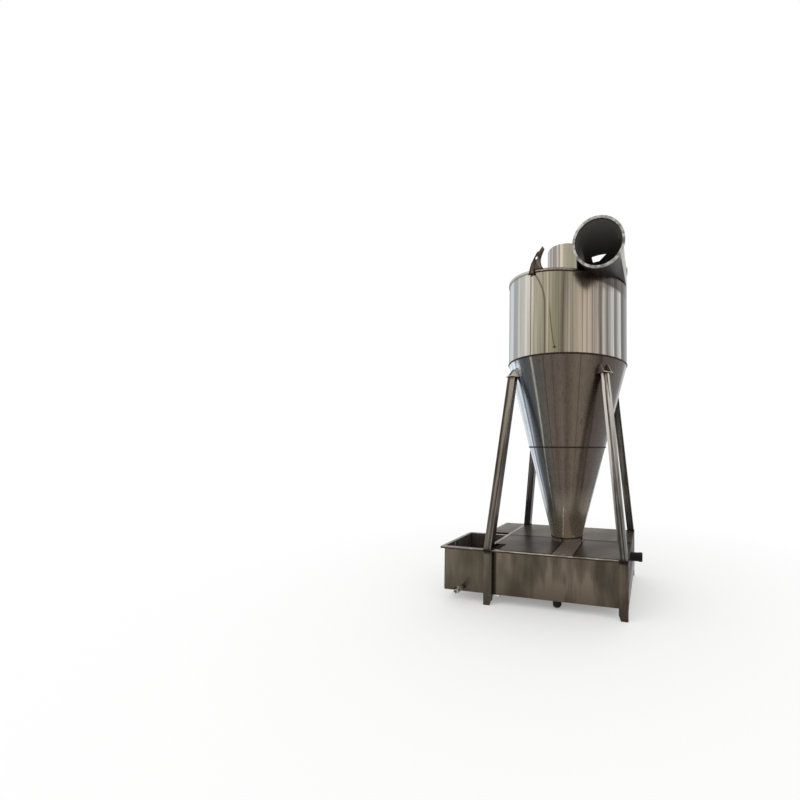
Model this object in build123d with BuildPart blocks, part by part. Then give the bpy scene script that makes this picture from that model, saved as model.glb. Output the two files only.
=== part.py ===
from build123d import *
from math import asin, atan, cos, degrees, pi, radians, sin, sqrt
import os

# Cyclone separator on a water trough: a sheet-metal cyclone with a helical roof stands on four
# splayed legs over a half-covered trough that catches what falls out of the cone.
# Millimetres, +Z up, floor at z = 0. All places are counted from the cyclone's upright axis:
# +X runs along the trough to the clean end, -Y is the side where the gas comes in.

# Trough.
post_foot_height = 91.0         # floor to underside of trough
trough_depth = 405.5            # underside of trough to top of rim
leg_bay = 1295.0                # over the posts, along the trough; the axis is in its middle
pocket_length = 217.5           # the full width carries on to the left of the leg bay
trough_width = 1080.0
box_length = 195.0              # the collecting box in the front half carries on further
box_width = 520.0
trough_sheet = 4.0
rim_width = 30.0                # edge of the sheet folded outwards, but not at the right end
rim_corner_cut = 24.0           # blunted far corner of the collecting box
cover_sheet = 3.0
cover_margin = 25.0             # rim left bare outside the covers
cover_seam = 2.0                # gap between neighbouring covers
cover_first_seam_x = -15.0      # seams across the front half
cover_second_seam_x = 180.0
cover_back_seam_x = 60.0        # seam across the back half
cover_notch_length = 105.5      # corner left open beside the front left leg
cover_notch_width = 185.0
cover_end_gap = 90.0            # slot left open between the box's back wall and the end cover
notch_clearance = 3.0           # between a cover and the foot of a leg
cross_bar_width = 30.0
cross_bar_clearance = 1.0       # between the bar's ends and the legs
cross_bar_depth = 30.0
cross_bar_sheet = 4.0

# Cyclone body, from the cone's outlet up.
wall = 4.0
outlet_radius = 155.0
outlet_stand = 37.5             # rim of trough to end of cone
outlet_dip = 200.0              # how far the outlet pipe hangs below the rim
outlet_hole_clearance = 3.0
lower_cone_height = 896.0
upper_cone_height = 820.0
barrel_radius = 600.0
barrel_height = 720.0           # foot of barrel to its lowest top edge, under the inlet

# Exhaust tube on the axis.
tube_radius = 211.0
tube_stand = 209.0              # above the highest point of the roof
tube_dip = 350.0                # below the inlet's floor, inside the barrel

# Helical roof: falls counter-clockwise from the right side, seen from above.
roof_sheet = 6.0
roof_fall = 295.0               # in a full turn
roof_turn = 289.0               # degrees until it meets the inlet's left wall at the barrel's edge
band_height = 20.0
band_thickness = 7.0

# Gas inlet: ring, round-to-square hood and floor.
inlet_reach = 700.0             # face of ring in front of the axis
inlet_radius = 198.0            # inside of the ring and of the hood's round end
ring_width = 21.5
ring_thickness = 12.0
inlet_centre_rise = 157.0       # centre of ring above the barrel's lowest top edge
hood_sheet = 4.0
floor_sheet = 6.0
floor_rise = 40.0               # floor climbs from the barrel's front edge to the axis
fold_width = 5.0                # blunt end of each flat field of the hood
side_plate = 3.5
side_plate_dip = 75.0           # below the roof's low end, inside the barrel
hatch_width = 142.0             # opening in the hood's ceiling: its front edge,
hatch_back_width = 61.0         # its shorter back edge,
hatch_length = 92.0             # and its square left edge
hatch_left_margin = 75.0
hatch_back_margin = 152.0

# Lifting lugs against the band: reaches from the middle of the base, towards the leaning tip.
lug_angle = -105.5
lug_thickness = 12.0
lug_base = 144.0
lug_height = 182.0              # above the roof's edge
lug_tip_reach = 76.0
lug_tip_width = 16.0            # blunt end of the tip
lug_tip_fall = 24.0
lug_notch_reach = 41.0          # step in the back of the plate, below the tip
lug_notch_width = 23.0
lug_notch_height = 148.0
lug_notch_fall = 5.0
lug_shoulder_reach = 45.0       # bend in the back of the plate, on the other side
lug_shoulder_height = 52.0
lug_waist_reach = 55.0          # where the front edge of the plate bends outwards
lug_waist_height = 75.0
lug_tab_width = 57.0            # part that hangs over the band
lug_tab_drop = 36.0
eye_radius = 15.0
eye_height = 96.0               # above the roof's edge
eye_offset = 11.0

# Brackets on the cone and legs.
bracket_drop = 150.0            # top of pad below the foot of the barrel
bracket_angle = 43.6            # off the trough's length, in plan
pad_width = 104.0
pad_thickness = 8.0
pad_reach = 90.0                # beyond the cone's surface
gusset_thickness = 6.0
gusset_height = 75.0
gusset_edge = 9.0               # from the pad's side edge
leg_size = 72.0
leg_wall = 4.0
leg_edge_gap = 10.0             # from outer edge of pad to outer face of leg
leg_foot_outset = 5.0           # middle of a leg's foot outside the trough's wall
post_width = 78.0
post_depth = 30.0
post_sheet = 5.0
foot_clip_width = 18.0          # inner bottom corner of each post cut off
foot_clip_height = 48.0

# Pipes on the trough.
overflow_radius = 40.0
overflow_length = 101.5
overflow_height = 280.0         # above the underside of the trough
cap_radius = 44.0
cap_length = 38.0
drain_radius = 38.0
drain_length = 75.0
drain_x = 20.0
drain_inset = 70.0              # from the trough's front wall
tap_inset = 178.0               # from the end of the collecting box
tap_height = 30.0               # above the underside of the trough
tap_pipe_radius = 13.5
tap_pipe_length = 34.0
tap_body_radius = 21.0
tap_body_length = 62.0
tap_nozzle_radius = 16.0
tap_nozzle_length = 44.0
tap_stem_height = 32.0          # middle of the body to the lever
tap_lever_length = 92.0
tap_lever_width = 18.0
tap_lever_sheet = 4.0

# Curved neighbours stay this far apart.
gap = 0.3

# Heights that follow from the sizes above.
rim_z = post_foot_height + trough_depth
outlet_z = rim_z + outlet_stand
cone_joint_z = outlet_z + lower_cone_height
barrel_foot_z = cone_joint_z + upper_cone_height
barrel_edge_z = barrel_foot_z + barrel_height
roof_end_z = barrel_edge_z + band_height
roof_start_z = roof_end_z + roof_fall * roof_turn / 360
tube_top_z = roof_start_z + tube_stand
tube_foot_z = barrel_edge_z - tube_dip
pad_z = barrel_foot_z - bracket_drop
inlet_z = barrel_edge_z + inlet_centre_rise

# Plan sizes that follow.
half_bay = leg_bay / 2
half_width = trough_width / 2
trough_left_x = -half_bay - pocket_length
trough_length = leg_bay + pocket_length
box_end_x = trough_left_x - box_length
box_back_y = -half_width + box_width
inlet_left_x = tube_radius + gap
inlet_width = barrel_radius - inlet_left_x
inlet_x = inlet_left_x + inlet_width / 2
ring_x = inlet_left_x + hood_sheet + inlet_radius
ring_outer_radius = inlet_radius + ring_width
band_radius = barrel_radius + gap + band_thickness
post_x = half_bay - post_width / 2
leg_foot_y = half_width + leg_foot_outset
cone_slope = (barrel_radius - outlet_radius) / (lower_cone_height + upper_cone_height)

# The frame's origin is on the floor under the middle of the whole plan, so the cyclone's axis
# stands off it by half of what one side reaches further than the other. At the back the tip of
# the rear lifting lug reaches furthest.
back_lug_angle = radians(lug_angle + 180)
lug_radius = band_radius + gap + lug_thickness / 2
back_reach = (lug_radius + lug_thickness / 2) * sin(back_lug_angle)
back_reach += (lug_tip_reach + lug_tip_width) * cos(back_lug_angle)
axis_x = (rim_width - box_end_x - half_bay - overflow_length) / 2
axis_y = (inlet_reach - back_reach) / 2


def level(height, x=0.0, y=0.0):
    """Level plane at a height above the floor."""
    return Plane(origin=(axis_x + x, axis_y + y, height))


def facing_front(y, x=0.0, height=0.0):
    """Upright plane across the trough, drawn as seen from the front."""
    return Plane(origin=(axis_x + x, axis_y + y, height), x_dir=(1, 0, 0), z_dir=(0, -1, 0))


def facing_right(x, y=0.0, height=0.0):
    """Upright plane along the trough's width, drawn as seen from the right end."""
    return Plane(origin=(axis_x + x, axis_y + y, height), x_dir=(0, 1, 0), z_dir=(1, 0, 0))


def outward(angle, height=0.0):
    """Upright plane through the axis: x points outwards at an angle in plan, y points up."""
    out = (cos(radians(angle)), sin(radians(angle)), 0)
    across = (sin(radians(angle)), -cos(radians(angle)), 0)
    return Plane(origin=(axis_x, axis_y, height), x_dir=out, z_dir=across)


def cone_radius(height):
    """Outer radius of the cone at a height above the floor."""
    return outlet_radius + (height - outlet_z) * cone_slope


def helix_piece(inner, outer, top, bottom, turn):
    """Strip that winds round the axis with the roof, from radius to radius and height to height.

    It is swept from the left side, where the helix's path begins, and then turned to the right.
    """
    with BuildPart() as piece:
        with BuildLine() as path:
            Helix(
                pitch=roof_fall,
                height=roof_fall * turn / 360,
                radius=outer,
                center=(axis_x, axis_y, roof_start_z),
                direction=(0, 0, -1),
                lefthand=True,
            )
        with BuildSketch(outward(180.0, roof_start_z)):
            with Locations(((inner + outer) / 2, (top + bottom) / 2)):
                Rectangle(outer - inner, top - bottom)
        sweep(path=path.line, is_frenet=True)
    return piece.part.rotate(Axis((axis_x, axis_y, 0), (0, 0, 1)), 180)


def cone_shell(foot, head):
    """Open piece of the cone between two heights, cut level at both ends."""
    across = wall / cos(atan(cone_slope))
    with BuildPart() as shell:
        with BuildSketch(outward(0.0)):
            with BuildLine():
                Polyline(
                    (cone_radius(foot), foot),
                    (cone_radius(head), head),
                    (cone_radius(head) - across, head),
                    (cone_radius(foot) - across, foot),
                    close=True,
                )
            make_face()
        revolve(axis=Axis((axis_x, axis_y, 0), (0, 0, 1)))
    return shell.part


# Floor of the inlet: a plane that climbs towards the axis.
floor_slope = floor_rise / sqrt(barrel_radius**2 - inlet_left_x**2)
floor_normal = (0, -sin(atan(floor_slope)), cos(atan(floor_slope)))
floor_middle = (axis_x + inlet_x, axis_y, barrel_edge_z + floor_rise)
floor_underside = Plane(origin=floor_middle, x_dir=(1, 0, 0), z_dir=floor_normal)
floor_top = floor_underside.offset(floor_sheet)
hood_floor_z = barrel_edge_z + floor_rise + floor_sheet
hood_end_height = roof_start_z - hood_floor_z

# Barrel: rolled sheet, its top edge cut to the roof's helix and, under the inlet, to the floor.
helix_cut = helix_piece(
    barrel_radius - 2 * wall,
    barrel_radius + wall,
    roof_fall,
    -roof_sheet - gap,
    roof_turn,
)

with BuildPart() as inlet_cut:
    with BuildSketch(level(barrel_edge_z - roof_sheet)):
        with BuildLine():
            start = roof_turn - 0.05
            reach = barrel_radius + wall
            Line((0, 0), (reach * cos(radians(start)), reach * sin(radians(start))))
            CenterArc((0, 0), reach, start, 360 - start)
            Line((reach, 0), (0, 0))
        make_face()
    extrude(amount=roof_start_z - barrel_edge_z + 2 * roof_sheet)
    split(bisect_by=floor_underside, keep=Keep.TOP)

with BuildPart() as barrel:
    with BuildSketch(level(barrel_foot_z)):
        Circle(barrel_radius)
        Circle(barrel_radius - wall, mode=Mode.SUBTRACT)
    extrude(amount=roof_start_z - roof_sheet - gap - barrel_foot_z)
    add(helix_cut, mode=Mode.SUBTRACT)
    add(inlet_cut.part, mode=Mode.SUBTRACT)

upper_cone = cone_shell(cone_joint_z, barrel_foot_z)
lower_cone = cone_shell(outlet_z, cone_joint_z)

# Outlet pipe: hangs from the cone's end down into the water.
with BuildPart() as outlet_pipe:
    with BuildSketch(level(rim_z - outlet_dip)):
        Circle(outlet_radius)
        Circle(outlet_radius - wall, mode=Mode.SUBTRACT)
    extrude(amount=outlet_dip + outlet_stand)

# Exhaust tube: open at both ends.
with BuildPart() as exhaust_tube:
    with BuildSketch(level(tube_foot_z)):
        Circle(tube_radius)
        Circle(tube_radius - wall, mode=Mode.SUBTRACT)
    extrude(amount=tube_top_z - tube_foot_z)

# Roof: one helical plate round the tube, trimmed along the side plate of the inlet.
side_plate_left = inlet_left_x - gap - side_plate
tube_side_angle = degrees(asin(sqrt(1 - (side_plate_left / (tube_radius + gap)) ** 2)))
roof_piece = helix_piece(
    tube_radius + gap,
    barrel_radius,
    0.0,
    -roof_sheet,
    360 - tube_side_angle / 2,
)
with BuildPart() as roof:
    add(roof_piece)
    with BuildSketch(level(barrel_edge_z - roof_fall)):
        with Locations((side_plate_left - gap, 0)):
            Rectangle(barrel_radius, barrel_radius + wall, align=(Align.MIN, Align.MAX))
    extrude(amount=2 * roof_fall, mode=Mode.SUBTRACT)

# Edge band: flat bar rolled round the top of the barrel, flush with the roof.
roof_band = helix_piece(barrel_radius + gap, band_radius, 0.0, -band_height, roof_turn)

# Inlet floor: covers the barrel's corner under the hood, right of the side plate.
with BuildPart() as inlet_floor:
    with BuildSketch(level(barrel_edge_z - floor_rise)):
        Circle(barrel_radius)
        with Locations((inlet_left_x, 0)):
            Rectangle(
                barrel_radius,
                barrel_radius,
                align=(Align.MIN, Align.MAX),
                mode=Mode.INTERSECT,
            )
    extrude(amount=3 * floor_rise)
    split(bisect_by=floor_underside, keep=Keep.TOP)
    split(bisect_by=floor_top, keep=Keep.BOTTOM)


def ring_outline(inset):
    """Round end of the hood in eight arcs: short ones at the quarters, long ones between."""
    radius = inlet_radius + hood_sheet - inset
    half = degrees(fold_width / 2 / radius)
    for quarter in range(4):
        CenterArc((0, 0), radius, quarter * 90 - half, 2 * half)
        CenterArc((0, 0), radius, quarter * 90 + half, 90 - 2 * half)


def frame_outline(inset):
    """Square end of the hood in eight lines: four sides and four blunt corners."""
    side = inlet_width / 2 - inset
    top = hood_end_height / 2 - inset
    corner_x = side - fold_width / 2
    corner_y = top - fold_width / 2
    Polyline(
        (side, -corner_y),
        (side, corner_y),
        (corner_x, top),
        (-corner_x, top),
        (-side, corner_y),
        (-side, -corner_y),
        (-corner_x, -top),
        (corner_x, -top),
        close=True,
    )


def hood_body(inset):
    """Round-to-square body: flat fields between the quarters and cone fields at the corners."""
    with BuildPart() as body:
        with BuildSketch(facing_front(-inlet_reach + ring_thickness, ring_x, inlet_z)):
            with BuildLine():
                ring_outline(inset)
            make_face()
        middle_z = hood_floor_z + hood_end_height / 2
        with BuildSketch(facing_front(0.0, inlet_x, middle_z)):
            with BuildLine():
                frame_outline(inset)
            make_face()
        loft(ruled=True)
    return body.part


# What the barrel and its floor take away from the hood's underside.
with BuildPart() as barrel_space:
    with BuildSketch(level(barrel_foot_z)):
        Circle(barrel_radius + gap)
    extrude(amount=roof_start_z - barrel_foot_z)
    split(bisect_by=floor_top.offset(gap), keep=Keep.BOTTOM)

# Hood: folded and rolled sheet from the ring to the start of the roof, open below over the floor,
# with an inspection opening in its ceiling.
with BuildPart() as inlet_hood:
    add(hood_body(0.0))
    add(hood_body(hood_sheet), mode=Mode.SUBTRACT)
    add(barrel_space.part, mode=Mode.SUBTRACT)
    with BuildSketch(level(inlet_z, inlet_left_x + hatch_left_margin, -hatch_back_margin)):
        with BuildLine():
            Polyline(
                (0, 0),
                (0, -hatch_length),
                (hatch_width, -hatch_length),
                (hatch_back_width, 0),
                close=True,
            )
        make_face()
    extrude(amount=ring_outer_radius, mode=Mode.SUBTRACT)

# Ring: flat flange for the duct.
with BuildPart() as inlet_ring:
    with BuildSketch(facing_front(-inlet_reach + ring_thickness, ring_x, inlet_z)):
        Circle(ring_outer_radius)
        Circle(inlet_radius, mode=Mode.SUBTRACT)
    extrude(amount=ring_thickness)

# Side plate: closes the corner between hood and roof, from the barrel's edge to the tube.
side_plate_front = sqrt((barrel_radius - wall - gap) ** 2 - inlet_left_x**2)
side_plate_back = sqrt((tube_radius + gap) ** 2 - side_plate_left**2) + gap
with BuildPart() as inlet_side_plate:
    with BuildSketch(facing_right(side_plate_left, -side_plate_front, inlet_z)):
        Rectangle(
            side_plate_front - side_plate_back,
            inlet_z - roof_end_z + side_plate_dip,
            align=(Align.MIN, Align.MAX),
        )
    extrude(amount=side_plate)


def lifting_lug(angle):
    """Horn-shaped plate with an eye, welded upright against the band, a tab hanging over it."""
    turn = angle % 360
    edge_z = roof_start_z - roof_fall * turn / 360
    rise = roof_fall / (2 * pi * lug_radius) * lug_base / 2
    out = (cos(radians(angle)), sin(radians(angle)), 0)
    along = (-sin(radians(angle)), cos(radians(angle)), 0)
    place = (axis_x + lug_radius * out[0], axis_y + lug_radius * out[1], edge_z)
    with BuildPart() as lug:
        with BuildSketch(Plane(origin=place, x_dir=along, z_dir=out)):
            half = lug_base / 2
            tab_edge = lug_tab_width - half
            tip = (lug_tip_reach + lug_tip_width, lug_height - lug_tip_fall)
            with BuildLine():
                Polyline((-half, -lug_tab_drop), (tab_edge, -lug_tab_drop), (tab_edge, 0), (half, -rise))
                Spline(
                    (half, -rise),
                    (lug_waist_reach, lug_waist_height),
                    tip,
                    tangents=((-1, 2), (1, 2)),
                )
                Polyline(
                    tip,
                    (lug_tip_reach, lug_height),
                    (lug_notch_reach, lug_notch_height),
                    (lug_notch_reach - lug_notch_width, lug_notch_height - lug_notch_fall),
                    (-lug_shoulder_reach, lug_shoulder_height),
                    (-half, -lug_tab_drop),
                )
            make_face()
            with Locations((eye_offset, eye_height)):
                Circle(eye_radius, mode=Mode.SUBTRACT)
        extrude(amount=lug_thickness / 2, both=True)
    return lug.part


# Cone grown by the gap, to trim what is welded against it.
with BuildPart() as cone_space:
    with BuildSketch(outward(0.0)):
        with BuildLine():
            Polyline(
                (0, outlet_z),
                (cone_radius(outlet_z) + gap, outlet_z),
                (cone_radius(barrel_foot_z) + gap, barrel_foot_z),
                (0, barrel_foot_z),
                close=True,
            )
        make_face()
    revolve(axis=Axis((axis_x, axis_y, 0), (0, 0, 1)))

pad_inner = cone_radius(pad_z - pad_thickness) - wall
pad_outer = cone_radius(pad_z) + pad_reach


def leg_bracket(angle):
    """Level pad with two gussets above it, trimmed to the cone."""
    with BuildPart() as bracket:
        with BuildSketch(outward(angle)):
            with BuildLine():
                Polyline(
                    (pad_inner, pad_z - pad_thickness),
                    (pad_outer, pad_z - pad_thickness),
                    (pad_outer, pad_z),
                    (pad_inner, pad_z),
                    close=True,
                )
            make_face()
        extrude(amount=pad_width / 2, both=True)
        for side in (-1, 1):
            place = side * (pad_width / 2 - gusset_edge)
            with BuildSketch(outward(angle).offset(place)):
                with BuildLine():
                    Polyline(
                        (pad_inner, pad_z),
                        (pad_outer - gusset_edge, pad_z),
                        (cone_radius(pad_z + gusset_height) + gusset_edge, pad_z + gusset_height),
                        (pad_inner, pad_z + gusset_height),
                        close=True,
                    )
                make_face()
            extrude(amount=gusset_thickness / 2, both=True)
        add(cone_space.part, mode=Mode.SUBTRACT)
    return bracket.part


leg_top_radius = pad_outer - leg_edge_gap - leg_size / 2


def leg(angle, side_x, side_y):
    """Square tube from the rim up to its pad, cut level at both ends and trimmed to the cone."""
    foot = Vector(side_x * post_x, side_y * leg_foot_y, rim_z)
    head = Vector(
        leg_top_radius * cos(radians(angle)),
        leg_top_radius * sin(radians(angle)),
        pad_z - pad_thickness,
    )
    run = head - foot
    with BuildPart() as tube:
        with BuildSketch(level(rim_z, foot.X, foot.Y)):
            Rectangle(leg_size, leg_size)
            offset(amount=-leg_wall, mode=Mode.SUBTRACT)
        extrude(amount=run.length, dir=run.normalized())
        add(cone_space.part, mode=Mode.SUBTRACT)
    return tube.part


def post(side_x, side_y):
    """Bent channel from the floor to the underside of the rim, open side to the trough's wall.

    The corner of its foot that points along the trough is clipped.
    """
    with BuildPart() as channel:
        with BuildSketch(level(0.0, side_x * post_x, side_y * (half_width + post_depth / 2))):
            Rectangle(post_width, post_depth)
            with Locations((0, -side_y * post_sheet)):
                Rectangle(post_width - 2 * post_sheet, post_depth, mode=Mode.SUBTRACT)
        extrude(amount=rim_z - trough_sheet)
        inner_x = side_x * (post_x - post_width / 2)
        with BuildSketch(facing_front(0.0, inner_x)):
            with BuildLine():
                Polyline((0, 0), (side_x * foot_clip_width, 0), (0, foot_clip_height), close=True)
            make_face()
        extrude(amount=trough_width, both=True, mode=Mode.SUBTRACT)
    return channel.part


def folded_wall(x, y, out, length):
    """Sheet wall from a point in plan, its top edge folded outwards, as an extruded L section.

    The wall runs towards the left of someone who stands outside and faces it.
    """
    along = Vector(*out).cross(Vector(0, 0, 1))
    with BuildPart() as sheet:
        with BuildSketch(Plane(origin=(axis_x + x, axis_y + y, 0), x_dir=out, z_dir=along)):
            with BuildLine():
                Polyline(
                    (0, post_foot_height),
                    (-trough_sheet, post_foot_height),
                    (-trough_sheet, rim_z),
                    (rim_width, rim_z),
                    (rim_width, rim_z - trough_sheet),
                    (0, rim_z - trough_sheet),
                    close=True,
                )
            make_face()
        extrude(amount=length)
    return sheet.part


# Long walls carry their rim round the left corners; the end walls fit between them. The right
# end is plain, flush with the covers and posts. The box's back wall runs on inside the trough,
# under the cross bar, with the left end wall of the trough standing against it.
corner_depth = rim_width + trough_sheet
inner_width = trough_width - 2 * trough_sheet
with BuildPart() as trough_front:
    add(folded_wall(half_bay, -half_width, (0, -1, 0), half_bay - box_end_x))
    with BuildSketch(level(rim_z - trough_sheet)):
        with Locations((box_end_x, -half_width - rim_width)):
            Rectangle(rim_width, corner_depth, align=(Align.MAX, Align.MIN))
    extrude(amount=trough_sheet)

with BuildPart() as trough_back:
    add(folded_wall(trough_left_x, half_width, (0, 1, 0), trough_length))
    with BuildSketch(level(rim_z - trough_sheet)):
        with Locations((trough_left_x, half_width - trough_sheet)):
            Rectangle(rim_width, corner_depth, align=(Align.MAX, Align.MIN))
    extrude(amount=trough_sheet)

with BuildPart() as trough_right:
    with BuildSketch(facing_right(half_bay - trough_sheet, 0.0, post_foot_height)):
        Rectangle(inner_width, trough_depth, align=(Align.CENTER, Align.MIN))
    extrude(amount=trough_sheet)

with BuildPart() as trough_left:
    add(folded_wall(trough_left_x, box_back_y, (-1, 0, 0), inner_width / 2 - box_back_y))
    with BuildSketch(level(rim_z - trough_sheet, trough_left_x + trough_sheet, box_back_y)):
        Rectangle(corner_depth, rim_width, align=(Align.MAX, Align.MIN))
    extrude(amount=trough_sheet, mode=Mode.SUBTRACT)

box_back_right_x = -half_bay + cross_bar_width - cross_bar_sheet
box_back_length = box_back_right_x - box_end_x - trough_sheet
with BuildPart() as box_back:
    add(folded_wall(box_end_x + trough_sheet, box_back_y, (0, 1, 0), box_back_length))
    with BuildSketch(level(post_foot_height, trough_left_x + trough_sheet, box_back_y)):
        Rectangle(trough_length, trough_sheet, align=(Align.MIN, Align.MAX))
    extrude(amount=trough_sheet, mode=Mode.SUBTRACT)

with BuildPart() as box_end:
    add(folded_wall(box_end_x, -inner_width / 2, (-1, 0, 0), box_width - trough_sheet))
    with BuildSketch(level(rim_z - trough_sheet)):
        with Locations((box_end_x - rim_width, box_back_y)):
            Rectangle(corner_depth, rim_width, align=(Align.MIN, Align.MIN))
    extrude(amount=trough_sheet)
    corner = box_end.edges().filter_by(Axis.Z).group_by(Axis.Y)[-1].sort_by(Axis.X)[0]
    chamfer(corner, rim_corner_cut)

# Bottom of trough and box in one sheet, between the walls.
with BuildPart() as trough_bottom:
    with BuildSketch(level(post_foot_height)):
        with Locations((half_bay - trough_sheet, 0)):
            Rectangle(
                trough_length - 2 * trough_sheet,
                trough_width - 2 * trough_sheet,
                align=(Align.MAX, Align.CENTER),
            )
        with Locations((box_end_x + trough_sheet, -half_width + trough_sheet)):
            Rectangle(
                box_length + trough_sheet,
                box_width - 2 * trough_sheet,
                align=(Align.MIN, Align.MIN),
            )
    extrude(amount=trough_sheet)

# Cross bar: angle over the trough, welded between the feet of the left legs, one flange level
# on the rim and the other hanging inside the trough.
cross_bar_half = leg_foot_y - leg_size / 2 - cross_bar_clearance
with BuildPart() as cross_bar:
    with BuildSketch(facing_front(cross_bar_half, -half_bay, rim_z)):
        with BuildLine():
            Polyline(
                (0, 0),
                (0, cross_bar_sheet),
                (cross_bar_width, cross_bar_sheet),
                (cross_bar_width, -cross_bar_depth),
                (cross_bar_width - cross_bar_sheet, -cross_bar_depth),
                (cross_bar_width - cross_bar_sheet, 0),
                close=True,
            )
        make_face()
    extrude(amount=2 * cross_bar_half)


def cover(left, right, front, back):
    """Loose plate on the rim, cut round the outlet pipe and clear of the legs' feet."""
    with BuildPart() as plate:
        with BuildSketch(level(rim_z)):
            with Locations((left, front)):
                Rectangle(right - left, back - front, align=(Align.MIN, Align.MIN))
            Circle(outlet_radius + outlet_hole_clearance, mode=Mode.SUBTRACT)
            with Locations(*[(sx * post_x, sy * leg_foot_y) for sx in (-1, 1) for sy in (-1, 1)]):
                foot = leg_size + 2 * notch_clearance
                Rectangle(foot, foot, mode=Mode.SUBTRACT)
        extrude(amount=cover_sheet)
    return plate.part


cover_edge_y = half_width + rim_width - cover_margin
cover_left_x = -half_bay + cross_bar_width + cover_seam
seam = cover_seam / 2
with BuildPart() as cover_front_left:
    add(cover(cover_left_x, cover_first_seam_x - seam, -cover_edge_y, -seam))
    with BuildSketch(level(rim_z, cover_left_x, -cover_edge_y)):
        Rectangle(cover_notch_length, cover_notch_width, align=(Align.MIN, Align.MIN))
    extrude(amount=cover_sheet, mode=Mode.SUBTRACT)

covers = {
    "cover_front_left": cover_front_left.part,
    "cover_front_middle": cover(
        cover_first_seam_x + seam, cover_second_seam_x - seam, -cover_edge_y, -seam),
    "cover_front_right": cover(
        cover_second_seam_x + seam, half_bay, -cover_edge_y, -seam),
    "cover_back_end": cover(
        trough_left_x - rim_width + cover_margin,
        -half_bay - cover_seam,
        box_back_y + cover_end_gap,
        cover_edge_y,
    ),
    "cover_back_left": cover(
        cover_left_x, cover_back_seam_x - seam, seam, cover_edge_y),
    "cover_back_right": cover(
        cover_back_seam_x + seam, half_bay, seam, cover_edge_y),
}

# Overflow: capped pipe on the right end wall.
with BuildPart() as overflow_pipe:
    with BuildSketch(facing_right(half_bay, 0.0, post_foot_height + overflow_height)):
        Circle(overflow_radius)
    extrude(amount=overflow_length)
    cap_start = half_bay + overflow_length - cap_length
    with BuildSketch(facing_right(cap_start, 0.0, post_foot_height + overflow_height)):
        Circle(cap_radius)
    extrude(amount=cap_length)
    fillet(overflow_pipe.edges().group_by(Axis.X)[-1], cap_radius / 6)

# Drain: capped stub under the trough.
with BuildPart() as drain_pipe:
    with BuildSketch(level(post_foot_height, drain_x, -half_width + drain_inset)):
        Circle(drain_radius)
    extrude(amount=-drain_length)
    chamfer(drain_pipe.edges().group_by(Axis.Z)[0], drain_radius / 3)

# Tap: ball valve on a short pipe out of the front of the collecting box, its lever lying above
# it and pointing to the front.
tap_x = box_end_x + tap_inset
tap_z = post_foot_height + tap_height
tap_body_y = -half_width - tap_pipe_length
tap_stem_y = tap_body_y - tap_body_length / 2
with BuildPart() as drain_tap:
    with BuildSketch(facing_front(-half_width, tap_x, tap_z)):
        Circle(tap_pipe_radius)
    extrude(amount=tap_pipe_length)
    with BuildSketch(facing_front(tap_body_y, tap_x, tap_z)):
        Circle(tap_body_radius)
    extrude(amount=tap_body_length)
    with BuildSketch(facing_front(tap_body_y - tap_body_length, tap_x, tap_z)):
        Circle(tap_nozzle_radius)
    extrude(amount=tap_nozzle_length)
    with BuildSketch(level(tap_z, tap_x, tap_stem_y)):
        Circle(tap_lever_width / 2)
    extrude(amount=tap_stem_height)
    with BuildSketch(level(tap_z + tap_stem_height, tap_x, tap_stem_y + tap_lever_width / 2)):
        Rectangle(tap_lever_width, tap_lever_length, align=(Align.CENTER, Align.MAX))
    extrude(amount=tap_lever_sheet)

pieces = {
    "barrel": barrel.part,
    "cone_upper": upper_cone,
    "cone_lower": lower_cone,
    "outlet_pipe": outlet_pipe.part,
    "exhaust_tube": exhaust_tube.part,
    "roof": roof.part,
    "roof_band": roof_band,
    "inlet_floor": inlet_floor.part,
    "inlet_hood": inlet_hood.part,
    "inlet_ring": inlet_ring.part,
    "inlet_side_plate": inlet_side_plate.part,
    "lifting_lug_front": lifting_lug(lug_angle),
    "lifting_lug_back": lifting_lug(lug_angle + 180),
    "trough_front": trough_front.part,
    "trough_back": trough_back.part,
    "trough_right": trough_right.part,
    "trough_left": trough_left.part,
    "box_back": box_back.part,
    "box_end": box_end.part,
    "trough_bottom": trough_bottom.part,
    "cross_bar": cross_bar.part,
    "overflow_pipe": overflow_pipe.part,
    "drain_pipe": drain_pipe.part,
    "drain_tap": drain_tap.part,
}
pieces.update(covers)

corners = {
    "front_left": (-1, -1, 180 + bracket_angle),
    "front_right": (1, -1, -bracket_angle),
    "back_right": (1, 1, bracket_angle),
    "back_left": (-1, 1, 180 - bracket_angle),
}
for corner_name, (side_x, side_y, angle) in corners.items():
    pieces["leg_bracket_" + corner_name] = leg_bracket(angle)
    pieces["leg_" + corner_name] = leg(angle, side_x, side_y)
    pieces["post_" + corner_name] = post(side_x, side_y)

os.makedirs("parts", exist_ok=True)
for name, part in pieces.items():
    part.label = name
    export_step(part, "parts/" + name + ".step")
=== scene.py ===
import math
import bpy
from mathutils import Matrix, Vector


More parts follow.
